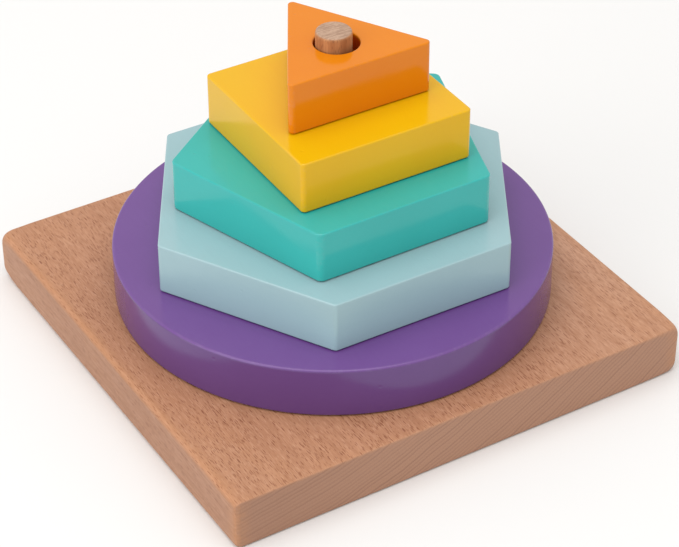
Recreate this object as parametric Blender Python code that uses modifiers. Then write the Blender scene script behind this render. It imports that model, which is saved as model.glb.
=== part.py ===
"""Stacking toy: five painted wooden blocks that drop over a dowel peg in a square beech board.

The board lies flat on z = 0 with its middle at the origin and its edges along X and Y.
Its grain runs along Y. The blocks shrink and lose a corner from one layer to the next:
disc, hexagon, pentagon, square, triangle.
"""
import math

import bpy
import bmesh
from mathutils import Matrix

# Base board
BOARD_WIDTH = 0.1420            # along X, across the grain
BOARD_LENGTH = 0.1402           # along Y, with the grain
STOCK_THICKNESS = 0.01515       # every flat piece is sawn from the same stock
TOUCH_GAP = 0.0003              # left between pieces that rest on or sit in each other
CORNER_RADIUS = 0.0018          # of the board's upright corners
FRONT_CORNER_RADIUS = 0.0015    # of the one upright corner that is crisper than the others
LONG_EDGE_RADIUS = 0.0015       # of the edges that run with the grain
END_EDGE_RADIUS = 0.0006        # of the edges across the grain

# Dowel peg, glued into a blind hole in the board
PEG_DIAMETER = 0.0100
PEG_X = 0.0012                  # the hole is drilled slightly off the board's middle
PEG_Y = 0.0001
PEG_PROUD = 0.0040              # how far the peg stands above the last block
PEG_TOP_ROUNDING = 0.0008
PEG_FOOT_CHAMFER = 0.0010
SOCKET_DEPTH = 0.0110

# Blocks
BORE_DIAMETER = 0.0127
BORE_MOUTH_CHAMFER = 0.0004
DISC_DIAMETER = 0.1239
HEXAGON_RADIUS = 0.0549         # centre to corner, before the corners are rounded
PENTAGON_RADIUS = 0.0456
SQUARE_SIDE = 0.0526
TRIANGLE_SIDE = 0.0453
DISC_EDGE_RADIUS = 0.0007
BLOCK_EDGE_RADIUS = 0.0004      # of a polygon's rims; its upright corners are rounder
HEXAGON_CORNER_RADIUS = 0.0014
PENTAGON_CORNER_RADIUS = 0.0021
SQUARE_CORNER_RADIUS = 0.0013
TRIANGLE_CORNER_RADIUS = 0.0013

# Smoothness of the rounded shapes
ROUNDING_STEPS = 3
DISC_STEPS = 96
PEG_STEPS = 48
BORE_STEPS = 48
SHARP_ANGLE = math.radians(35)
CUTTER_OVERRUN = 0.001
MERGE_DISTANCE = 0.00001

LAYER_PITCH = STOCK_THICKNESS + TOUCH_GAP
LAYERS = 5
STACK_TOP = STOCK_THICKNESS + LAYERS * LAYER_PITCH

# Each block lies where it was dropped: a shift within the bore's play, and a small turn
DISC_SHIFT = (-0.00085, -0.00025)
HEXAGON_SHIFT = (-0.0001, 0.0003)
PENTAGON_SHIFT = (0.0002, 0.0002)
SQUARE_SHIFT = (0.0010, -0.0001)
TRIANGLE_SHIFT = (0.0010, 0.0002)
HEXAGON_TURN = math.radians(-0.7)
PENTAGON_TURN = math.radians(0.05)
SQUARE_TURN = math.radians(-0.45)
TRIANGLE_TURN = math.radians(-0.5)


def clear_scene():
    for item in list(bpy.context.scene.objects):
        bpy.data.objects.remove(item, do_unlink=True)


def new_collection(name):
    collection = bpy.data.collections.new(name)
    bpy.context.scene.collection.children.link(collection)
    return collection


def new_material(name, colour, roughness):
    material = bpy.data.materials.new(name)
    material.use_nodes = True
    shader = material.node_tree.nodes["Principled BSDF"]
    shader.inputs["Base Color"].default_value = (*colour, 1.0)
    shader.inputs["Roughness"].default_value = roughness
    shader.inputs["Metallic"].default_value = 0.0
    material.diffuse_color = (*colour, 1.0)
    return material


def raw_beech():
    return new_material("raw_beech", (0.54, 0.32, 0.20), 0.62)


def dowel_wood():
    return new_material("dowel_wood", (0.50, 0.36, 0.25), 0.65)


def purple_paint():
    return new_material("purple_paint", (0.205, 0.115, 0.350), 0.32)


def pale_blue_paint():
    return new_material("pale_blue_paint", (0.400, 0.590, 0.640), 0.36)


def teal_paint():
    return new_material("teal_paint", (0.050, 0.450, 0.390), 0.34)


def yellow_paint():
    return new_material("yellow_paint", (0.800, 0.470, 0.030), 0.34)


def orange_paint():
    return new_material("orange_paint", (0.800, 0.240, 0.040), 0.36)


def place(name, mesh, collection, material, location, turn=0.0):
    item = bpy.data.objects.new(name, mesh)
    item.location = location
    item.rotation_euler = (0.0, 0.0, turn)
    collection.objects.link(item)
    if material is not None:
        mesh.materials.append(material)
    return item


def smooth_shade(mesh):
    mesh.shade_smooth()
    mesh.set_sharp_from_angle(angle=SHARP_ANGLE)


def arc(centre_x, centre_z, radius, start, end):
    """Points of a rounding in the XZ plane, from the start angle to the end angle in degrees."""
    points = []
    for step in range(ROUNDING_STEPS + 1):
        angle = math.radians(start + (end - start) * step / ROUNDING_STEPS)
        points.append((centre_x + radius * math.cos(angle), centre_z + radius * math.sin(angle)))
    return points


def profile_mesh(name, points, closed):
    """A line of points in the XZ plane, ready for a Screw modifier about Z."""
    mesh = bpy.data.meshes.new(name)
    edges = [(index, index + 1) for index in range(len(points) - 1)]
    if closed:
        edges.append((len(points) - 1, 0))
    mesh.from_pydata([(x, 0.0, z) for x, z in points], edges, [])
    return mesh


def add_screw(item, steps):
    screw = item.modifiers.new("turn", "SCREW")
    screw.axis = "Z"
    screw.angle = math.tau
    screw.steps = steps
    screw.render_steps = steps
    screw.use_merge_vertices = True
    screw.merge_threshold = MERGE_DISTANCE
    screw.use_smooth_shade = True


def add_weighted_bevel(item, width):
    bevel = item.modifiers.new("round_edges", "BEVEL")
    bevel.limit_method = "WEIGHT"
    bevel.width = width
    bevel.segments = ROUNDING_STEPS
    bevel.harden_normals = False


def add_cut(item, cutter):
    cut = item.modifiers.new("bore", "BOOLEAN")
    cut.operation = "DIFFERENCE"
    cut.solver = "EXACT"
    cut.object = cutter


def hide_cutter(cutter):
    cutter.hide_render = True
    cutter.display_type = "WIRE"


def is_upright(edge):
    low, high = edge.verts
    return abs(low.co.z - high.co.z) > STOCK_THICKNESS / 2


def board_edge_radius(edge):
    low, high = edge.verts
    if is_upright(edge):
        front = low.co.x < 0 and low.co.y < 0
        return FRONT_CORNER_RADIUS if front else CORNER_RADIUS
    runs_with_grain = abs(low.co.y - high.co.y) > BOARD_LENGTH / 2
    return LONG_EDGE_RADIUS if runs_with_grain else END_EDGE_RADIUS


def weight_edges(shape, edge_radius, largest):
    """Bevel weights that give each edge its own radius, as a share of the largest one."""
    layer = shape.edges.layers.float.new("bevel_weight_edge")
    for edge in shape.edges:
        edge[layer] = edge_radius(edge) / largest


def make_socket_cutter(cutters):
    """Blind hole for the peg, open at the board's top face."""
    radius = PEG_DIAMETER / 2 + TOUCH_GAP
    floor = STOCK_THICKNESS - SOCKET_DEPTH
    top = STOCK_THICKNESS + CUTTER_OVERRUN
    points = [(0.0, top), (radius, top), (radius, floor), (0.0, floor)]
    cutter = place("socket_cutter", profile_mesh("socket_cutter", points, False), cutters, None,
                   (PEG_X, PEG_Y, 0.0))
    add_screw(cutter, PEG_STEPS)
    hide_cutter(cutter)
    return cutter


def make_base_board(parts, cutters):
    shape = bmesh.new()
    bmesh.ops.create_cube(shape, size=1.0)
    bmesh.ops.scale(shape, vec=(BOARD_WIDTH, BOARD_LENGTH, STOCK_THICKNESS), verts=shape.verts)
    weight_edges(shape, board_edge_radius, CORNER_RADIUS)
    bmesh.ops.translate(shape, vec=(0.0, 0.0, STOCK_THICKNESS / 2), verts=shape.verts)
    mesh = bpy.data.meshes.new("base_board")
    shape.to_mesh(mesh)
    shape.free()
    smooth_shade(mesh)
    board = place("base_board", mesh, parts, raw_beech(), (0.0, 0.0, 0.0))
    add_weighted_bevel(board, CORNER_RADIUS)
    add_cut(board, make_socket_cutter(cutters))


def make_peg(parts):
    radius = PEG_DIAMETER / 2
    foot = STOCK_THICKNESS - SOCKET_DEPTH + TOUCH_GAP
    top = STACK_TOP + PEG_PROUD
    points = [(0.0, top)]
    points += arc(radius - PEG_TOP_ROUNDING, top - PEG_TOP_ROUNDING, PEG_TOP_ROUNDING, 90, 0)
    points += [(radius, foot + PEG_FOOT_CHAMFER), (radius - PEG_FOOT_CHAMFER, foot), (0.0, foot)]
    mesh = profile_mesh("dowel_peg", points, False)
    peg = place("dowel_peg", mesh, parts, dowel_wood(), (PEG_X, PEG_Y, 0.0))
    add_screw(peg, PEG_STEPS)


def block_place(layer, shift):
    """Where a block's middle lies, for its layer counted from 0 on the board."""
    height = STOCK_THICKNESS + TOUCH_GAP + layer * LAYER_PITCH + STOCK_THICKNESS / 2
    return (PEG_X + shift[0], PEG_Y + shift[1], height)


def bore_profile():
    """The bore's wall from its lower mouth to its upper one."""
    radius = BORE_DIAMETER / 2
    half = STOCK_THICKNESS / 2
    return [
        (radius + BORE_MOUTH_CHAMFER, -half),
        (radius, -half + BORE_MOUTH_CHAMFER),
        (radius, half - BORE_MOUTH_CHAMFER),
        (radius + BORE_MOUTH_CHAMFER, half),
    ]


def make_disc(parts):
    half = STOCK_THICKNESS / 2
    middle = DISC_DIAMETER / 2 - DISC_EDGE_RADIUS
    points = arc(middle, half - DISC_EDGE_RADIUS, DISC_EDGE_RADIUS, 90, 0)
    points += arc(middle, DISC_EDGE_RADIUS - half, DISC_EDGE_RADIUS, 0, -90)
    points += bore_profile()
    mesh = profile_mesh("disc_block", points, True)
    disc = place("disc_block", mesh, parts, purple_paint(), block_place(0, DISC_SHIFT))
    add_screw(disc, DISC_STEPS)


def make_bore_cutter(name, cutters, location):
    """Cutter of a block's through hole, flared at both mouths for the chamfers."""
    end = STOCK_THICKNESS / 2 + CUTTER_OVERRUN
    flare = BORE_DIAMETER / 2 + BORE_MOUTH_CHAMFER + CUTTER_OVERRUN
    wall = bore_profile()[1:3]
    points = [(0.0, end), (flare, end), wall[1], wall[0], (flare, -end), (0.0, -end)]
    cutter = place(name, profile_mesh(name, points, False), cutters, None, location)
    add_screw(cutter, BORE_STEPS)
    hide_cutter(cutter)
    return cutter


def make_polygon_block(name, sides, radius, corner_radius, material, layer, shift, turn,
                       parts, cutters):
    """A regular prism on its flat face, with one side facing -Y before it is turned."""
    def edge_radius(edge):
        return corner_radius if is_upright(edge) else BLOCK_EDGE_RADIUS

    shape = bmesh.new()
    bmesh.ops.create_cone(shape, cap_ends=True, segments=sides, radius1=radius, radius2=radius,
                          depth=STOCK_THICKNESS)
    if sides % 2 == 0:
        half_side = math.pi / sides
        rotation = Matrix.Rotation(half_side, 3, "Z")
        bmesh.ops.rotate(shape, cent=(0.0, 0.0, 0.0), matrix=rotation, verts=shape.verts)
    weight_edges(shape, edge_radius, corner_radius)
    mesh = bpy.data.meshes.new(name)
    shape.to_mesh(mesh)
    shape.free()
    smooth_shade(mesh)
    location = block_place(layer, shift)
    block = place(name, mesh, parts, material, location, turn)
    add_weighted_bevel(block, corner_radius)
    add_cut(block, make_bore_cutter(name + "_bore_cutter", cutters, location))


def main():
    clear_scene()
    parts = new_collection("stacking_toy")
    cutters = new_collection("cutters")
    make_base_board(parts, cutters)
    make_peg(parts)
    make_disc(parts)
    square_radius = SQUARE_SIDE / math.sqrt(2)
    triangle_radius = TRIANGLE_SIDE / math.sqrt(3)
    make_polygon_block("hexagon_block", 6, HEXAGON_RADIUS, HEXAGON_CORNER_RADIUS,
                       pale_blue_paint(), 1, HEXAGON_SHIFT, HEXAGON_TURN, parts, cutters)
    make_polygon_block("pentagon_block", 5, PENTAGON_RADIUS, PENTAGON_CORNER_RADIUS,
                       teal_paint(), 2, PENTAGON_SHIFT, PENTAGON_TURN, parts, cutters)
    make_polygon_block("square_block", 4, square_radius, SQUARE_CORNER_RADIUS,
                       yellow_paint(), 3, SQUARE_SHIFT, SQUARE_TURN, parts, cutters)
    make_polygon_block("triangle_block", 3, triangle_radius, TRIANGLE_CORNER_RADIUS,
                       orange_paint(), 4, TRIANGLE_SHIFT, TRIANGLE_TURN, parts, cutters)


main()
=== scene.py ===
"""Looks of the stacking toy: five painted wooden blocks on a dowel peg in a beech board."""
import math

import bpy
import numpy as np
from mathutils import Matrix, Vector, noise


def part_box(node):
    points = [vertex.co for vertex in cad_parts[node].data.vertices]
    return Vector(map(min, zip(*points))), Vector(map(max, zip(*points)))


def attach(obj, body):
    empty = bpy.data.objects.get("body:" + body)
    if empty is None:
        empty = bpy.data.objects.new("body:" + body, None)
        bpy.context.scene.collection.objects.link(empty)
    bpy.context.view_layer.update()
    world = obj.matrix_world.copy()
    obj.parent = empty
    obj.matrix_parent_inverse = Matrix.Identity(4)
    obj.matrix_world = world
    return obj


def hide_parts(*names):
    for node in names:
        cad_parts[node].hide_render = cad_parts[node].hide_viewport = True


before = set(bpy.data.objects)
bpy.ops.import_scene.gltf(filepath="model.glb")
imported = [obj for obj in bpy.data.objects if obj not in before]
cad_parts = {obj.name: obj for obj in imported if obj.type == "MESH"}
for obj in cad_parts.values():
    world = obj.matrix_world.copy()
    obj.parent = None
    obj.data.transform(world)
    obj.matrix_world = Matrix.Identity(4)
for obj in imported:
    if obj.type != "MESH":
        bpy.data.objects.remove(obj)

MM = 0.001

# Board. Its corners are listed in the order (-X -Y), (+X -Y), (+X +Y), (-X +Y): the first is crisp,
# and the others are knocked round, so that the rim starts lower there.
LONG_EDGE_RADIUS = 1.5 * MM         # of the edges that run with the grain
END_EDGE_RADIUS = 0.6 * MM          # of the edges across the grain
UPRIGHT_RADII = [1.5 * MM, 2.0 * MM, 1.8 * MM, 0.9 * MM]
FACE_CORNER_RADII = [1.2 * MM, 3.5 * MM, 3.5 * MM, 3.5 * MM]
CORNER_KNOCKS = [0.0 * MM, 2.0 * MM, 2.0 * MM, 2.4 * MM]
KNOCK_REACH = 7.0 * MM              # how far along an edge a corner's knock reaches
SOCKET_CLEARANCE = 0.06 * MM
SOCKET_DEPTH = 11.0 * MM

# Peg
PEG_TOP_ROUNDING = 0.8 * MM
PEG_FOOT_CHAMFER = 1.0 * MM

# Blocks, by the same measures as the solids
BORE_RADIUS = 6.35 * MM
BORE_MOUTH_RADIUS = 0.4 * MM
PAINTED_DEPTH = 5.0 * MM            # how far the paint reaches into a bore
DISC_EDGE_RADIUS = 0.7 * MM
BLOCK_EDGE_RADIUS = 0.4 * MM
HEXAGON_RADIUS = 54.9 * MM
PENTAGON_RADIUS = 45.6 * MM
SQUARE_RADIUS = 52.6 * MM / math.sqrt(2)
TRIANGLE_RADIUS = 45.3 * MM / math.sqrt(3)
HEXAGON_CORNER = 1.4 * MM
PENTAGON_CORNER = 2.1 * MM
SQUARE_CORNER = 1.3 * MM
TRIANGLE_CORNER = 1.3 * MM
HEXAGON_TURN = -0.7
PENTAGON_TURN = 0.05
SQUARE_TURN = -0.45
TRIANGLE_TURN = -0.5
BORE_SEARCH_RADIUS = 9.0 * MM       # only a bore's own vertices lie this near to the peg's axis

# Mesh density
SIDE_POINTS = 40
CORNER_POINTS = 11
DISC_POINTS = 288
ROUND_ROWS = 6
FACE_ROWS = 18
WALL_ROWS = 9
PEG_POINTS = 96
PEG_FACE_ROWS = 10
PEG_WALL_ROWS = 60
CAP_RADIUS = 0.3 * MM               # of the small flat cap where the rings of a face end
EDGE_REACH = 1.6 * MM               # how far from an edge its wear reaches
END_EDGE_RUB = 0.35                 # how rubbed the edges across the grain are, of the long ones
SUPPORT = 0.12 * MM                 # distance of the tight rows that keep flat faces flat

# Unevenness left by sanding and painting
PEG_UNEVENNESS = 0.02 * MM
BLOCK_UNEVENNESS = 0.035 * MM

# A face starts to count as end grain, and then counts fully, at these shares of its normal
END_FACE_START = 0.55
END_FACE_FULL = 0.80

# Heart of the tree that the board was sawn from, in the board's XZ plane, and the growth rings
HEART_X = -110.0 * MM
HEART_Z = 230.0 * MM
RING_WIDTH = 1.25 * MM
RING_DRIFT = 4.5 * MM

# Spacing of the beech's flecks across and along the grain, in millimetres
SHORT_FLECKS = (0.42, 4.0)
LONG_FLECKS = (0.85, 7.0)

# Where the board starts to turn paler and where it is palest, along X
PALER_RIGHT_START = 10.0 * MM
PALER_RIGHT_FULL = 68.0 * MM

# Where the end grain starts to darken and where it is darkest, along X
DARK_END_START = -15.0 * MM
DARK_END_FULL = -65.0 * MM

# Depths of the relief in the bump maps
FLECK_RELIEF = 0.07 * MM
RING_RELIEF = 0.05 * MM
DOWEL_RELIEF = 0.06 * MM
GRAIN_RELIEF = 0.08 * MM
SKIN_RELIEF = 0.03 * MM
WAVE_RELIEF = 0.20 * MM
DENT_RELIEF = 0.15 * MM

# Colours of the raw wood
BEECH_LIGHT = (0.515, 0.258, 0.146)
BEECH_DARK = (0.375, 0.168, 0.086)
BEECH_WARM = (0.510, 0.240, 0.118)
BEECH_EDGE = (0.480, 0.225, 0.105)
BEECH_PALE = (0.600, 0.335, 0.212)
BEECH_SIDE_TINT = (0.870, 0.920, 1.000)     # of the two upright faces that run with the grain
BEECH_FLECK = (0.190, 0.052, 0.018)
END_GRAIN_LIGHT = (0.428, 0.229, 0.144)
END_GRAIN_DARK = (0.270, 0.135, 0.085)
DOWEL_LIGHT = (0.540, 0.255, 0.105)
DOWEL_DARK = (0.330, 0.125, 0.042)
DOWEL_FLECK = (0.170, 0.060, 0.025)
DOWEL_END_LIGHT = (0.500, 0.330, 0.230)
DOWEL_END_DARK = (0.340, 0.205, 0.135)
NICK_WOOD = (0.400, 0.260, 0.160)
WOOD_IOR = 1.45

# Paint: its colours, and those of its thicker or dirtier patches
GLOSS_IOR = 1.5
WARM_GLOSS_IOR = 1.38               # yellow and orange paint shine less
PURPLE = (0.155, 0.065, 0.258)
PURPLE_SHADE = (0.138, 0.053, 0.235)
PALE_BLUE = (0.322, 0.480, 0.515)
PALE_BLUE_SHADE = (0.290, 0.445, 0.475)
TEAL = (0.030, 0.418, 0.392)
TEAL_SHADE = (0.024, 0.380, 0.352)
YELLOW = (0.730, 0.425, 0.003)
YELLOW_SHADE = (0.720, 0.385, 0.002)
ORANGE = (0.705, 0.210, 0.003)
ORANGE_SHADE = (0.680, 0.185, 0.002)

# Studio
FLOOR_SIZE = 6.0
FLOOR_DROP = 0.2 * MM               # keeps the floor clear of the board's underside
FLOOR_COLOUR = (0.80, 0.797, 0.793)
FLOOR_ROUGHNESS = 0.7
LIGHT_AIM = (0.0, 0.0, 0.05)
WORLD_COLOUR = (1.0, 0.985, 0.965)
WORLD_STRENGTH = 0.80

# Camera
CAMERA_AZIMUTH = -31.19
CAMERA_ELEVATION = 36.32
CAMERA_ROLL = -0.22
CAMERA_DISTANCE = 0.6875
CAMERA_AIM = (0.0024, -0.0004, 0.0161)
FOCAL_LENGTH = 127.87
SENSOR_WIDTH = 36.0


# ---------------------------------------------------------------- outlines

def spaced_side(length):
    """Distances along a straight side, with a tight point next to each end."""
    inner = np.linspace(0.0, length, SIDE_POINTS)[1:-1]
    return np.concatenate([[SUPPORT], inner, [length - SUPPORT]])


def polygon_outline(corners, radii):
    """Points, outward normals and corner distances round a polygon with rounded corners.

    corners run counterclockwise. Each corner is an arc of its own radius.
    """
    corners = [np.array(corner, float) for corner in corners]
    count = len(corners)
    arcs = []
    for index, corner in enumerate(corners):
        before = corners[index - 1] - corner
        after = corners[(index + 1) % count] - corner
        before /= np.linalg.norm(before)
        after /= np.linalg.norm(after)
        half_angle = math.acos(float(np.clip(before @ after, -1.0, 1.0))) / 2
        reach = radii[index] / math.sin(half_angle)
        inward = (before + after) / np.linalg.norm(before + after)
        start_normal = np.array([-before[1], before[0]])
        end_normal = np.array([after[1], -after[0]])
        arcs.append((corner + inward * reach, start_normal, end_normal, radii[index]))
    points = []
    normals = []
    corner_distance = []
    for index, (middle, start_normal, end_normal, radius) in enumerate(arcs):
        start = math.atan2(start_normal[1], start_normal[0])
        end = math.atan2(end_normal[1], end_normal[0])
        while end < start:
            end += math.tau
        for angle in np.linspace(start, end, CORNER_POINTS):
            normal = np.array([math.cos(angle), math.sin(angle)])
            points.append(middle + normal * radius)
            normals.append(normal)
            corner_distance.append(0.0)
        next_middle, next_normal, _, next_radius = arcs[(index + 1) % count]
        side_start = middle + end_normal * radius
        side_end = next_middle + next_normal * next_radius
        length = np.linalg.norm(side_end - side_start)
        for distance in spaced_side(length):
            points.append(side_start + (side_end - side_start) * distance / length)
            normals.append(end_normal)
            corner_distance.append(min(distance, length - distance))
    return np.array(points), np.array(normals), np.array(corner_distance)


def circle_outline(radius, count):
    angles = np.linspace(0.0, math.tau, count, endpoint=False)
    normals = np.stack([np.cos(angles), np.sin(angles)], axis=1)
    return normals * radius, normals, np.full(count, 1.0)


def regular_corners(sides, radius, turn):
    """Corners of a regular polygon with one side facing -Y, turned by some degrees."""
    first = -90.0 - 180.0 / sides + turn
    angles = [math.radians(first + 360.0 * index / sides) for index in range(sides)]
    return [(radius * math.cos(angle), radius * math.sin(angle)) for angle in angles]


# ---------------------------------------------------------------- meshes

class Rows:
    """Rings of vertices that run round a piece, stitched one to the next."""

    def __init__(self, count):
        self.count = count
        self.points = []
        self.edge = []
        self.bore = []

    def add(self, plane_points, heights, edge=0.0, bore=0.0):
        heights = np.broadcast_to(heights, (self.count,))
        self.points.append(np.column_stack([plane_points, heights]))
        self.edge.append(np.broadcast_to(edge, (self.count,)))
        self.bore.append(np.broadcast_to(bore, (self.count,)))

    def mesh(self, name, closed, wobble):
        points = np.concatenate(self.points)
        edge = np.concatenate(self.edge)
        bore = np.concatenate(self.bore)
        rows = len(self.points)
        faces = []
        last = rows if closed else rows - 1
        for row in range(last):
            here = row * self.count
            there = (row + 1) % rows * self.count
            for column in range(self.count):
                following = (column + 1) % self.count
                faces.append((here + column, there + column, there + following, here + following))
        if not closed:
            faces.append(tuple(range(self.count)))
            start = (rows - 1) * self.count
            faces.append(tuple(start + column for column in reversed(range(self.count))))
        mesh = bpy.data.meshes.new(name)
        mesh.from_pydata(points.tolist(), [], faces)
        mesh.update()
        if wobble is not None:
            mesh.vertices.foreach_set("co", wobble(mesh, points).ravel())
            mesh.update()
        add_attribute(mesh, "edge_mask", edge)
        add_attribute(mesh, "bore_mask", bore)
        mesh.shade_smooth()
        return mesh


def add_attribute(mesh, name, values):
    attribute = mesh.attributes.new(name, "FLOAT", "POINT")
    attribute.data.foreach_set("value", np.asarray(values, np.float32))


def vertex_normals(mesh):
    normals = np.zeros(len(mesh.vertices) * 3, np.float32)
    mesh.vertex_normals.foreach_get("vector", normals)
    return normals.reshape(-1, 3)


def hand_sanded(depth, scale, offset):
    """A displacement that leaves a face slightly uneven, as after sanding and painting."""
    def wobble(mesh, points):
        normals = vertex_normals(mesh)
        shift = np.empty(len(points))
        place = Vector(offset)
        for index, point in enumerate(points):
            shift[index] = depth * noise.noise(Vector(point) * scale + place)
        return points + normals * shift[:, None]
    return wobble


def fade(distance, reach):
    """1 at an edge, down to 0 at some reach from it."""
    return np.clip(1.0 - distance / reach, 0.0, 1.0) ** 2


def quarter_turn(steps):
    return [math.pi / 2 * step / steps for step in range(steps + 1)]


def block_mesh(name, outline, edge_radius, half, wobble):
    """A flat block with a rounded rim and a through bore, as one grid of quads."""
    points, normals, corner_distance = outline
    rows = Rows(len(points))
    corner_mask = fade(corner_distance, EDGE_REACH)
    quarter = quarter_turn(ROUND_ROWS)
    directions = points / np.linalg.norm(points, axis=1)[:, None]

    def rim(angle, side):
        inset = edge_radius * (1 - math.cos(angle))
        height = half - edge_radius * (1 - math.sin(angle))
        rows.add(points - normals * inset, side * height, edge=1.0)

    def face(side, share):
        outer = points - normals * edge_radius
        inner = directions * (BORE_RADIUS + BORE_MOUTH_RADIUS)
        span = np.linalg.norm(outer - inner, axis=1)[:, None]
        from_edge = SUPPORT / span + share * (1 - 2 * SUPPORT / span)
        place = outer + (inner - outer) * from_edge
        mask = fade(np.linalg.norm(place - outer, axis=1), EDGE_REACH)
        rows.add(place, side * half, edge=mask)

    def mouth(angle, side):
        radius = BORE_RADIUS + BORE_MOUTH_RADIUS * (1 - math.cos(angle))
        height = half - BORE_MOUTH_RADIUS * (1 - math.sin(angle))
        rows.add(directions * radius, side * height, edge=0.5)

    for angle in reversed(quarter):
        rim(angle, 1)
    wall_top = half - edge_radius - SUPPORT
    for height in np.linspace(wall_top, -wall_top, WALL_ROWS):
        mask = np.maximum(corner_mask, fade(wall_top + SUPPORT - abs(height), EDGE_REACH))
        rows.add(points, height, edge=mask)
    for angle in quarter:
        rim(angle, -1)
    for share in np.linspace(0.0, 1.0, FACE_ROWS):
        face(-1, share)
    for angle in reversed(quarter[::2]):
        mouth(angle, -1)
    bore_top = half - BORE_MOUTH_RADIUS - SUPPORT
    for height in np.linspace(-bore_top, bore_top, WALL_ROWS):
        depth = half - abs(height)
        rows.add(directions * BORE_RADIUS, height, bore=min(depth / PAINTED_DEPTH, 1.0))
    for angle in quarter[::2]:
        mouth(angle, 1)
    for share in np.linspace(1.0, 0.0, FACE_ROWS):
        face(1, share)
    return rows.mesh(name, True, wobble)


def board_mesh(name, low, high, socket_middle, socket_radius):
    """The board, with its own rounding on each edge and corner and a blind socket for the peg."""
    corners = np.array([(low.x, low.y), (high.x, low.y), (high.x, high.y), (low.x, high.y)])
    inward = np.array([(1, 1), (-1, 1), (-1, -1), (1, -1)])
    edge_radii = np.array([LONG_EDGE_RADIUS, END_EDGE_RADIUS])
    points, normals, corner_distance = polygon_outline(corners, UPRIGHT_RADII)
    rims, _, _ = polygon_outline(corners + inward * edge_radii, FACE_CORNER_RADII)
    rows = Rows(len(points))
    corner_mask = fade(corner_distance, EDGE_REACH)
    to_corners = np.linalg.norm(points[:, None] - corners[None], axis=2)
    knock = np.array(CORNER_KNOCKS)[to_corners.argmin(axis=1)] * fade(corner_distance, KNOCK_REACH)
    rounding = np.linalg.norm(normals * edge_radii, axis=1) + knock
    rubbed = np.maximum(np.abs(normals[:, 0]), END_EDGE_RUB)
    directions = points - socket_middle
    directions /= np.linalg.norm(directions, axis=1)[:, None]
    socket = socket_middle + directions * socket_radius
    centre = socket_middle + directions * CAP_RADIUS
    angles = quarter_turn(ROUND_ROWS)
    socket_floor = high.z - SOCKET_DEPTH

    def rim(angle, upper):
        place = points + (rims - points) * (1 - math.cos(angle))
        drop = rounding * (1 - math.sin(angle))
        rows.add(place, high.z - drop if upper else low.z + drop, edge=rubbed)

    def face(inner, height, share):
        span = np.linalg.norm(rims - inner, axis=1)[:, None]
        from_edge = SUPPORT / span + share * (1 - 2 * SUPPORT / span)
        place = rims + (inner - rims) * from_edge
        mask = rubbed * fade(np.linalg.norm(place - rims, axis=1), EDGE_REACH)
        rows.add(place, height, edge=mask)

    rows.add(centre, socket_floor, bore=1.0)
    rows.add(socket, socket_floor, bore=1.0)
    rows.add(socket, high.z - SUPPORT, bore=1.0)
    rows.add(socket, high.z)
    for share in np.linspace(1.0, 0.0, 2 * FACE_ROWS):
        face(socket, high.z, share)
    for angle in reversed(angles):
        rim(angle, True)
    top = high.z - rounding - SUPPORT
    bottom = low.z + rounding + SUPPORT
    for share in np.linspace(0.0, 1.0, WALL_ROWS):
        rows.add(points, top + (bottom - top) * share, edge=corner_mask)
    for angle in angles:
        rim(angle, False)
    for share in np.linspace(0.0, 1.0, FACE_ROWS):
        face(centre, low.z, share)
    return rows.mesh(name, False, None)


def peg_mesh(name, radius, low_z, high_z, wobble):
    """A dowel with a softened tip and a chamfered foot."""
    _, directions, _ = circle_outline(radius, PEG_POINTS)
    rows = Rows(PEG_POINTS)
    tip = radius - PEG_TOP_ROUNDING
    for share in np.linspace(0.0, 1.0, PEG_FACE_ROWS):
        rows.add(directions * (CAP_RADIUS + (tip - SUPPORT - CAP_RADIUS) * share), high_z)
    for angle in reversed(quarter_turn(ROUND_ROWS)):
        inset = PEG_TOP_ROUNDING * (1 - math.cos(angle))
        drop = PEG_TOP_ROUNDING * (1 - math.sin(angle))
        rows.add(directions * (radius - inset), high_z - drop, edge=1.0)
    wall_top = high_z - PEG_TOP_ROUNDING - SUPPORT
    wall_foot = low_z + PEG_FOOT_CHAMFER + SUPPORT
    for height in np.linspace(wall_top, wall_foot, PEG_WALL_ROWS):
        rows.add(directions * radius, height)
    rows.add(directions * radius, low_z + PEG_FOOT_CHAMFER)
    rows.add(directions * (radius - PEG_FOOT_CHAMFER), low_z)
    rows.add(directions * CAP_RADIUS, low_z)
    return rows.mesh(name, False, wobble)


# ---------------------------------------------------------------- materials

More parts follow.
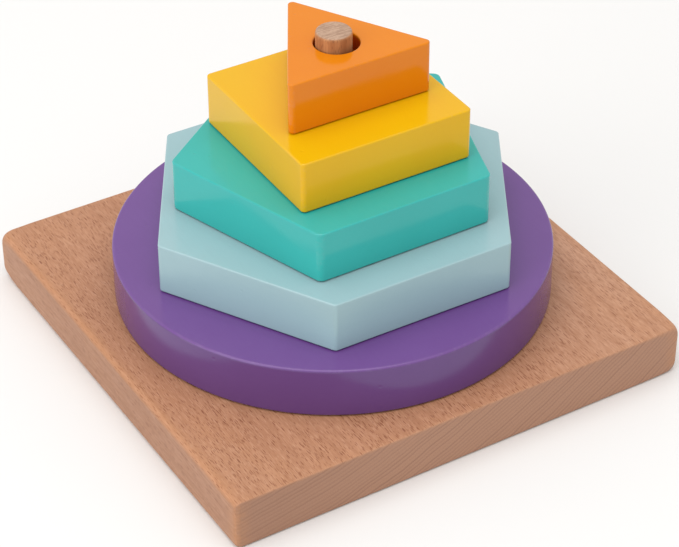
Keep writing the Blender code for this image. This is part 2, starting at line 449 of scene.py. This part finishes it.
class Graph:
    """Short calls for building one material's nodes."""

    def __init__(self, name):
        self.material = bpy.data.materials.new(name)
        self.material.use_nodes = True
        self.tree = self.material.node_tree
        self.shader = self.tree.nodes["Principled BSDF"]
        coordinates = self.add("ShaderNodeTexCoord")
        self.object_point = coordinates.outputs["Object"]
        self.object_normal = coordinates.outputs["Normal"]

    def add(self, kind, **settings):
        item = self.tree.nodes.new(kind)
        for key, value in settings.items():
            setattr(item, key, value)
        return item

    def feed(self, socket, value):
        if isinstance(value, bpy.types.NodeSocket):
            self.tree.links.new(value, socket)
        else:
            socket.default_value = value

    def math(self, operation, *values, clamp=False):
        item = self.add("ShaderNodeMath", operation=operation, use_clamp=clamp)
        for socket, value in zip(item.inputs, values):
            self.feed(socket, value)
        return item.outputs[0]

    def scaled(self, point, scale, shift=(0.0, 0.0, 0.0)):
        item = self.add("ShaderNodeMapping")
        self.feed(item.inputs["Vector"], point)
        item.inputs["Scale"].default_value = scale
        item.inputs["Location"].default_value = shift
        return item.outputs["Vector"]

    def join(self, x, y, z):
        item = self.add("ShaderNodeCombineXYZ")
        for socket, value in zip(item.inputs, (x, y, z)):
            self.feed(socket, value)
        return item.outputs[0]

    def split(self, point):
        item = self.add("ShaderNodeSeparateXYZ")
        self.feed(item.inputs[0], point)
        return item.outputs

    def noise(self, point, scale=1.0, detail=2.0, roughness=0.5):
        item = self.add("ShaderNodeTexNoise")
        self.feed(item.inputs["Vector"], point)
        item.inputs["Scale"].default_value = scale
        item.inputs["Detail"].default_value = detail
        item.inputs["Roughness"].default_value = roughness
        return item.outputs["Fac"]

    def cells(self, point, dimensions="3D"):
        item = self.add("ShaderNodeTexVoronoi", feature="F1", voronoi_dimensions=dimensions)
        self.feed(item.inputs["Vector"], point)
        item.inputs["Scale"].default_value = 1.0
        return item.outputs["Distance"], item.outputs["Color"]

    def step(self, value, low, high, to_low=0.0, to_high=1.0):
        item = self.add("ShaderNodeMapRange", interpolation_type="SMOOTHSTEP")
        self.feed(item.inputs["Value"], value)
        item.inputs["From Min"].default_value = low
        item.inputs["From Max"].default_value = high
        item.inputs["To Min"].default_value = to_low
        item.inputs["To Max"].default_value = to_high
        return item.outputs["Result"]

    def mix(self, share, first, second, blend="MIX"):
        item = self.add("ShaderNodeMix", data_type="RGBA", blend_type=blend)
        self.feed(item.inputs["Factor"], share)
        self.feed(item.inputs["A"], rgba(first))
        self.feed(item.inputs["B"], rgba(second))
        return item.outputs["Result"]

    def attribute(self, name):
        return self.add("ShaderNodeAttribute", attribute_name=name).outputs["Fac"]

    def bump(self, height, strength, distance, normal=None):
        item = self.add("ShaderNodeBump")
        item.inputs["Strength"].default_value = strength
        item.inputs["Distance"].default_value = distance
        self.feed(item.inputs["Height"], height)
        if normal is not None:
            self.feed(item.inputs["Normal"], normal)
        return item.outputs["Normal"]

    def surface(self, **inputs):
        for name, value in inputs.items():
            self.feed(self.shader.inputs[name.replace("_", " ")], value)


def rgba(value):
    return (*value, 1.0) if isinstance(value, tuple) and len(value) == 3 else value


def per_mm(x, y, z):
    """Texture scale that gives one feature per so many millimetres along each axis."""
    return (1000.0 / x, 1000.0 / y, 1000.0 / z)


def wood_point(graph):
    """Distance from the tree's heart, way round the ring and way along the grain, in metres."""
    x, y, z = graph.split(graph.object_point)
    from_x = graph.math("SUBTRACT", x, HEART_X)
    below = graph.math("SUBTRACT", HEART_Z, z)
    squares = graph.math("ADD", graph.math("POWER", from_x, 2.0), graph.math("POWER", below, 2.0))
    radius = graph.math("SQRT", squares)
    angle = graph.math("ARCTAN2", from_x, below)
    return radius, graph.math("MULTIPLY", angle, HEART_Z), y


def flecks(graph, grain_point, spacing, size, softness):
    """Short dark dashes along the grain; their size varies from one to the next."""
    distance, cell = graph.cells(graph.scaled(grain_point, per_mm(*spacing, 1.0)), "2D")
    limit = graph.math("MULTIPLY_ADD", graph.split(cell)[0], size, 0.05)
    return graph.step(graph.math("DIVIDE", distance, limit), 1.0, softness)


def beech(name):
    """Beech: growth rings as bands, and rays as fine dark flecks that run with the grain."""
    graph = Graph(name)
    radius, around, along = wood_point(graph)
    drift = graph.noise(graph.scaled(graph.object_point, per_mm(30, 140, 30)), detail=3.0)
    bent = graph.math("ADD", radius, graph.math("MULTIPLY", drift, RING_DRIFT))
    turns = graph.math("DIVIDE", bent, RING_WIDTH)
    place = graph.math("FRACT", turns)
    year = graph.math("FLOOR", turns)
    late = graph.math("MULTIPLY", graph.step(place, 0.25, 0.93), graph.step(place, 1.0, 0.93))
    odd_year = graph.noise(graph.join(year, 0.0, 0.0), scale=0.73, detail=0.0)
    late = graph.math("MULTIPLY", late, graph.step(odd_year, 0.3, 0.7, 0.25, 1.0))

    grain_point = graph.join(around, along, radius)
    short = flecks(graph, grain_point, SHORT_FLECKS, 0.27, 0.60)
    long = flecks(graph, grain_point, LONG_FLECKS, 0.13, 0.55)
    patchy = graph.noise(graph.scaled(graph.object_point, per_mm(14, 30, 14)), detail=2.0)
    short = graph.math("MULTIPLY", short, graph.step(patchy, 0.36, 0.60, 0.35, 1.0))
    fleck_mask = graph.math("MAXIMUM", short, long)
    side = graph.math("ABSOLUTE", graph.split(graph.object_normal)[0])
    fleck_mask = graph.math("MULTIPLY", fleck_mask, graph.step(side, 0.75, 0.98, 1.0, 0.25))

    fibre = graph.noise(graph.scaled(grain_point, per_mm(0.34, 6.0, 0.6)), detail=3.0,
                        roughness=0.65)
    streak = graph.noise(graph.scaled(grain_point, per_mm(1.4, 26.0, 1.4)), detail=2.0)
    broad = graph.noise(graph.scaled(graph.object_point, per_mm(26, 90, 26)), detail=2.0)
    warm = graph.noise(graph.scaled(graph.object_point, per_mm(9, 24, 9)), detail=2.0)
    fuzz = graph.noise(graph.scaled(grain_point, per_mm(0.26, 2.8, 1.0)), detail=1.0)

    colour = graph.mix(graph.math("MULTIPLY", late, 0.30), BEECH_LIGHT, BEECH_DARK)
    across = graph.split(graph.object_point)[0]
    # The board turns paler towards +X, and its flecks fade there.
    paler_right = graph.step(across, PALER_RIGHT_START, PALER_RIGHT_FULL)
    colour = graph.mix(graph.math("MULTIPLY", paler_right, 0.95), colour, BEECH_PALE)
    fleck_mask = graph.math("MULTIPLY", fleck_mask, graph.step(paler_right, 0.0, 1.0, 1.0, 0.60))
    colour = graph.mix(graph.step(broad, 0.35, 0.70, 0.0, 0.40), colour, BEECH_DARK)
    colour = graph.mix(graph.step(warm, 0.45, 0.75, 0.0, 0.40), colour, BEECH_WARM)
    colour = graph.mix(graph.step(streak, 0.42, 0.70, 0.0, 0.50), colour, BEECH_DARK)
    colour = graph.mix(graph.step(fibre, 0.38, 0.72, 0.0, 0.62), colour, BEECH_DARK)
    fuzz_share = graph.step(side, 0.75, 0.98, 1.0, 0.4)
    dark_fuzz = graph.math("MULTIPLY", graph.step(fuzz, 0.48, 0.75, 0.0, 0.50), fuzz_share)
    pale_fuzz = graph.math("MULTIPLY", graph.step(fuzz, 0.48, 0.25, 0.0, 0.45), fuzz_share)
    colour = graph.mix(dark_fuzz, colour, BEECH_DARK)
    colour = graph.mix(pale_fuzz, colour, BEECH_PALE)
    colour = graph.mix(graph.math("MULTIPLY", fleck_mask, 0.82), colour, BEECH_FLECK)
    colour = graph.mix(graph.step(side, 0.75, 0.98), colour, BEECH_SIDE_TINT, "MULTIPLY")

    end_grain = graph.attribute("end_mask")
    end_point = graph.join(around, 0.0, radius)
    pore = graph.noise(graph.scaled(end_point, per_mm(0.30, 1.0, 0.34)), detail=2.0)
    end_colour = graph.mix(graph.math("MULTIPLY", late, 0.75), END_GRAIN_LIGHT, END_GRAIN_DARK)
    end_colour = graph.mix(graph.step(pore, 0.40, 0.75, 0.0, 0.40), end_colour, END_GRAIN_DARK)
    darker_end = graph.step(across, DARK_END_START, DARK_END_FULL, 0.0, 0.30)
    end_colour = graph.mix(darker_end, end_colour, END_GRAIN_DARK)
    colour = graph.mix(end_grain, colour, end_colour)

    rubbed = graph.step(streak, 0.3, 0.7, 0.20, 0.55)
    rubbed = graph.math("MULTIPLY", graph.attribute("edge_mask"), rubbed)
    colour = graph.mix(rubbed, colour, BEECH_EDGE)

    rough = graph.step(fibre, 0.2, 0.8, 0.48, 0.62)
    relief = graph.math("SUBTRACT", graph.math("MULTIPLY", fibre, 0.5), fleck_mask)
    normal = graph.bump(relief, 0.30, FLECK_RELIEF)
    normal = graph.bump(late, 0.15, RING_RELIEF, normal)
    graph.surface(Base_Color=colour, Roughness=rough, Normal=normal, IOR=WOOD_IOR)
    return graph.material


def dowel(name):
    """Raw dowel: straight grain along Z, grey-tan sawn end with short soft streaks."""
    graph = Graph(name)
    warp = graph.noise(graph.scaled(graph.object_point, per_mm(4, 4, 60)), detail=2.0)
    fibre = graph.noise(graph.scaled(graph.object_point, per_mm(0.30, 0.30, 9.0)), detail=3.0)
    distance, _ = graph.cells(graph.scaled(graph.object_point, per_mm(0.55, 0.55, 2.4)))
    fleck_mask = graph.step(distance, 0.32, 0.16)
    colour = graph.mix(graph.step(warp, 0.35, 0.65), DOWEL_LIGHT, DOWEL_DARK)
    colour = graph.mix(graph.step(fibre, 0.35, 0.75, 0.0, 0.50), colour, DOWEL_DARK)
    colour = graph.mix(graph.math("MULTIPLY", fleck_mask, 0.50), colour, DOWEL_FLECK)

    rays = graph.noise(graph.scaled(graph.object_point, per_mm(3.2, 0.55, 3.0)), detail=3.0,
                       roughness=0.7)
    pores = graph.noise(graph.scaled(graph.object_point, per_mm(0.5, 0.35, 1.0)), detail=2.0)
    end_colour = graph.mix(graph.step(rays, 0.40, 0.62), DOWEL_END_LIGHT, DOWEL_END_DARK)
    end_colour = graph.mix(graph.step(pores, 0.46, 0.70, 0.0, 0.50), end_colour, DOWEL_END_DARK)
    colour = graph.mix(graph.attribute("end_mask"), colour, end_colour)
    relief = graph.math("SUBTRACT", fibre, fleck_mask)
    normal = graph.bump(relief, 0.3, DOWEL_RELIEF)
    graph.surface(Base_Color=colour, Roughness=0.62, Normal=normal, IOR=WOOD_IOR)
    return graph.material


def painted_wood(name, colour, shade, shift, roughness, relief=1.0, ior=GLOSS_IOR, side=1.0):
    """Glossy paint over sanded wood: faint grain and dents, thin paint and small nicks on the rims.

    The bore is painted where the brush reached it, and raw wood further in; the paint in the bore
    is darkened as painted shade. relief scales the fine relief of the grain and skin, and side is
    the share of the colour left on the upright faces, as painted shade.
    """
    graph = Graph(name)
    point = graph.scaled(graph.object_point, (1.0, 1.0, 1.0), shift)
    cloud = graph.noise(graph.scaled(point, per_mm(26, 26, 26)), detail=2.0)
    grain = graph.noise(graph.scaled(point, per_mm(1.1, 14.0, 1.1)), detail=3.0, roughness=0.6)
    skin = graph.noise(graph.scaled(point, per_mm(0.8, 0.8, 0.8)), detail=1.0)
    waves = graph.noise(graph.scaled(point, per_mm(9.0, 9.0, 9.0)), detail=0.0)
    dent, _ = graph.cells(graph.scaled(point, per_mm(6.5, 6.5, 6.5)))
    edge = graph.attribute("edge_mask")
    bore = graph.attribute("bore_mask")
    level = graph.math("ABSOLUTE", graph.split(graph.object_normal)[2])

    mixed = graph.mix(graph.step(cloud, 0.30, 0.72, 0.0, 0.50), colour, shade)
    mixed = graph.mix(graph.step(grain, 0.40, 0.75, 0.0, 0.18), mixed, shade)
    # Painted shade: the upright faces are darkened by the factor side.
    mixed = graph.mix(graph.step(level, 0.7, 0.2), mixed, (side, side, side), "MULTIPLY")
    rim = graph.step(edge, 0.80, 1.0)
    thin_paint = graph.math("MULTIPLY", rim, graph.step(grain, 0.45, 0.72, 0.0, 0.10))
    mixed = graph.mix(thin_paint, mixed, tuple(0.6 * value + 0.2 for value in colour))
    speck, _ = graph.cells(graph.scaled(point, per_mm(11.0, 11.0, 11.0)))
    nick = graph.math("MULTIPLY", graph.step(speck, 0.045, 0.025), rim)
    mixed = graph.mix(graph.math("MULTIPLY", nick, 0.5), mixed, NICK_WOOD)
    fray = graph.noise(graph.scaled(point, per_mm(2.2, 2.2, 3.5)), detail=3.0)
    # Painted shade: the paint inside the bore is darkened towards a deeper copy of its colour.
    bore_painted_shade = tuple(value ** 2 for value in colour)
    mixed = graph.mix(graph.step(bore, 0.0, 0.3, 0.0, 0.9), mixed, bore_painted_shade)
    bare = graph.step(graph.math("ADD", bore, graph.math("MULTIPLY", fray, 0.5)), 1.10, 1.30)
    bare_wood = graph.mix(graph.step(grain, 0.35, 0.7), DOWEL_LIGHT, DOWEL_DARK)
    mixed = graph.mix(bare, mixed, bare_wood)

    rough = graph.math("MULTIPLY_ADD", graph.step(cloud, 0.3, 0.7), 0.05, roughness)
    rough = graph.math("MULTIPLY_ADD", bare, 0.4, rough, clamp=True)
    normal = graph.bump(grain, 0.10 * relief, GRAIN_RELIEF)
    normal = graph.bump(skin, 0.06 * relief, SKIN_RELIEF, normal)
    normal = graph.bump(waves, 0.15, WAVE_RELIEF, normal)
    pressed = graph.math("MAXIMUM", graph.step(dent, 0.10, 0.02), nick)
    pressed = graph.math("MULTIPLY", pressed, -1.0)
    normal = graph.bump(pressed, 0.30, DENT_RELIEF, normal)
    graph.surface(Base_Color=mixed, Roughness=rough, Normal=normal, IOR=ior)
    return graph.material


def matte(name, colour, roughness):
    graph = Graph(name)
    graph.surface(Base_Color=rgba(colour), Roughness=roughness)
    return graph.material


# ---------------------------------------------------------------- pieces

def end_mask(mesh, axis):
    """1 on the faces that cross the grain, 0 on those that run with it."""
    normals = vertex_normals(mesh)
    past_start = np.abs(normals[:, axis]) - END_FACE_START
    mask = np.clip(past_start / (END_FACE_FULL - END_FACE_START), 0.0, 1.0)
    add_attribute(mesh, "end_mask", mask)


def show(name, mesh, material, body, node, location):
    piece = bpy.data.objects.new(name, mesh)
    piece.location = location
    bpy.context.scene.collection.objects.link(piece)
    mesh.materials.append(material)
    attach(piece, body)
    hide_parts(node)


def bore_middle(node, axis_point):
    """Middle of a block's bore, from the solid's own vertices near the peg's axis."""
    near = [vertex.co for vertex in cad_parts[node].data.vertices
            if (vertex.co.xy - axis_point).length < BORE_SEARCH_RADIUS]
    low = [min(co[axis] for co in near) for axis in range(2)]
    high = [max(co[axis] for co in near) for axis in range(2)]
    return (low[0] + high[0]) / 2, (low[1] + high[1]) / 2


peg_low, peg_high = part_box("dowel_peg")
peg_axis = ((peg_low + peg_high) / 2).xy
peg_radius = (peg_high.x - peg_low.x) / 2
board_low, board_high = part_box("base_board")


def make_board():
    socket_middle = np.array([peg_axis.x, peg_axis.y])
    mesh = board_mesh("base_board_skin", board_low, board_high, socket_middle,
                      peg_radius + SOCKET_CLEARANCE)
    end_mask(mesh, 1)
    show("beech_base", mesh, beech("beech"), "base", "base_board", (0, 0, 0))


def make_peg():
    mesh = peg_mesh("dowel_skin", peg_radius, 0.0, peg_high.z - peg_low.z,
                    hand_sanded(PEG_UNEVENNESS, 160.0, (7.7, 2.4, 1.9)))
    end_mask(mesh, 2)
    show("peg_dowel", mesh, dowel("dowel_wood"), "base", "dowel_peg",
         (peg_axis.x, peg_axis.y, peg_low.z))


def make_block(shape, outline, edge_radius, material, seed):
    node = shape + "_block"
    low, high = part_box(node)
    half = (high.z - low.z) / 2
    wobble = hand_sanded(BLOCK_UNEVENNESS, 70.0, (seed, 2.0 * seed, 5.0))
    mesh = block_mesh(shape + "_skin", outline, edge_radius, half, wobble)
    x, y = bore_middle(node, peg_axis)
    show(shape + "_painted", mesh, material, shape, node, (x, y, (low.z + high.z) / 2))


def polygon(sides, radius, corner_radius, turn):
    corners = regular_corners(sides, radius, turn)
    return polygon_outline(corners, sides * [corner_radius])


def make_blocks():
    # The purple paint gets painted shade on its upright faces, side=0.78.
    purple = painted_wood("purple_gloss", PURPLE, PURPLE_SHADE, (0.31, 0.0, 0.12), 0.16, side=0.78)
    pale = painted_wood("pale_blue_gloss", PALE_BLUE, PALE_BLUE_SHADE, (0.0, 0.47, 0.22), 0.22,
                        relief=2.5)
    teal = painted_wood("teal_gloss", TEAL, TEAL_SHADE, (0.58, 0.11, 0.0), 0.13)
    yellow = painted_wood("yellow_gloss", YELLOW, YELLOW_SHADE, (0.13, 0.71, 0.4), 0.15,
                          ior=WARM_GLOSS_IOR)
    orange = painted_wood("orange_gloss", ORANGE, ORANGE_SHADE, (0.83, 0.29, 0.6), 0.12,
                          ior=WARM_GLOSS_IOR)
    disc_low, disc_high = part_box("disc_block")
    disc = circle_outline((disc_high.x - disc_low.x) / 2, DISC_POINTS)
    make_block("disc", disc, DISC_EDGE_RADIUS, purple, 1.3)
    hexagon = polygon(6, HEXAGON_RADIUS, HEXAGON_CORNER, HEXAGON_TURN)
    make_block("hexagon", hexagon, BLOCK_EDGE_RADIUS, pale, 4.9)
    pentagon = polygon(5, PENTAGON_RADIUS, PENTAGON_CORNER, PENTAGON_TURN)
    make_block("pentagon", pentagon, BLOCK_EDGE_RADIUS, teal, 8.2)
    square = polygon(4, SQUARE_RADIUS, SQUARE_CORNER, SQUARE_TURN)
    make_block("square", square, BLOCK_EDGE_RADIUS, yellow, 12.6)
    triangle = polygon(3, TRIANGLE_RADIUS, TRIANGLE_CORNER, TRIANGLE_TURN)
    make_block("triangle", triangle, BLOCK_EDGE_RADIUS, orange, 17.4)


# ---------------------------------------------------------------- studio

def make_floor():
    bpy.ops.mesh.primitive_plane_add(size=FLOOR_SIZE, location=(0, 0, board_low.z - FLOOR_DROP))
    floor = bpy.context.object
    floor.name = "studio_floor"
    floor.data.materials.append(matte("pale_floor", FLOOR_COLOUR, FLOOR_ROUGHNESS))


def area_light(name, location, size, power):
    data = bpy.data.lights.new(name, "AREA")
    data.shape = "RECTANGLE"
    data.size, data.size_y = size
    data.energy = power
    light = bpy.data.objects.new(name, data)
    bpy.context.scene.collection.objects.link(light)
    light.location = location
    towards = Vector(LIGHT_AIM) - Vector(location)
    light.rotation_euler = towards.to_track_quat("-Z", "Y").to_euler()


def make_lights():
    area_light("overhead_softbox", (-0.32, -0.20, 1.5), (1.6, 1.6), 13.5)
    area_light("left_softbox", (-1.5, -0.2, 0.7), (1.2, 1.0), 6.5)
    world = bpy.data.worlds.new("studio")
    world.use_nodes = True
    background = world.node_tree.nodes["Background"]
    background.inputs["Color"].default_value = rgba(WORLD_COLOUR)
    background.inputs["Strength"].default_value = WORLD_STRENGTH
    bpy.context.scene.world = world


def make_camera():
    turn = math.radians(CAMERA_AZIMUTH)
    rise = math.radians(CAMERA_ELEVATION)
    back = Vector((math.sin(turn) * math.cos(rise),
                   -math.cos(turn) * math.cos(rise),
                   math.sin(rise)))
    right = Vector((0, 0, 1)).cross(back).normalized()
    up = back.cross(right)
    axes = Matrix((right, up, back)).transposed().to_4x4()
    data = bpy.data.cameras.new("camera")
    data.lens = FOCAL_LENGTH
    data.sensor_width = SENSOR_WIDTH
    data.sensor_fit = "HORIZONTAL"
    camera = bpy.data.objects.new("camera", data)
    bpy.context.scene.collection.objects.link(camera)
    place = Matrix.Translation(Vector(CAMERA_AIM) + back * CAMERA_DISTANCE)
    camera.matrix_world = place @ axes @ Matrix.Rotation(math.radians(CAMERA_ROLL), 4, "Z")
    bpy.context.scene.camera = camera


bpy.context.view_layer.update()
make_board()
make_peg()
make_blocks()
make_floor()
make_lights()
make_camera()
bpy.context.scene.view_settings.view_transform = "Standard"
